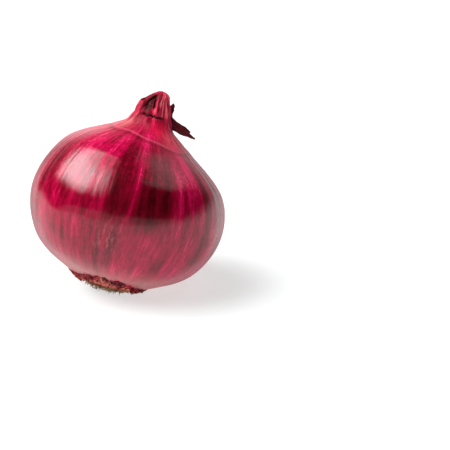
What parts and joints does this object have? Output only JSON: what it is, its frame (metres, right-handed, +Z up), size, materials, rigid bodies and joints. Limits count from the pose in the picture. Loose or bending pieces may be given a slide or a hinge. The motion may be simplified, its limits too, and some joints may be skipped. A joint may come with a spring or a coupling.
{
  "type": "red onion",
  "caption": "Whole dry red onion lying on a small flat spot, leaning, with pleated neck, torn skin and trimmed roots.",
  "frame": {"origin": "on the flat spot that the onion rests on, under its weight", "axes": "+Z up from the table; the neck leans 18 degrees from +Z, towards +X and a little towards +Y; -Y faces the picture's camera"},
  "size_m": [0.0827, 0.0831, 0.0834],
  "materials": {
    "crimson_skin": "gloss",
    "dried_roots": "matte"
  },
  "bodies": {
    "root": {"bulb": "crimson_skin", "root_plate": "dried_roots"}
  },
  "joints": []
}
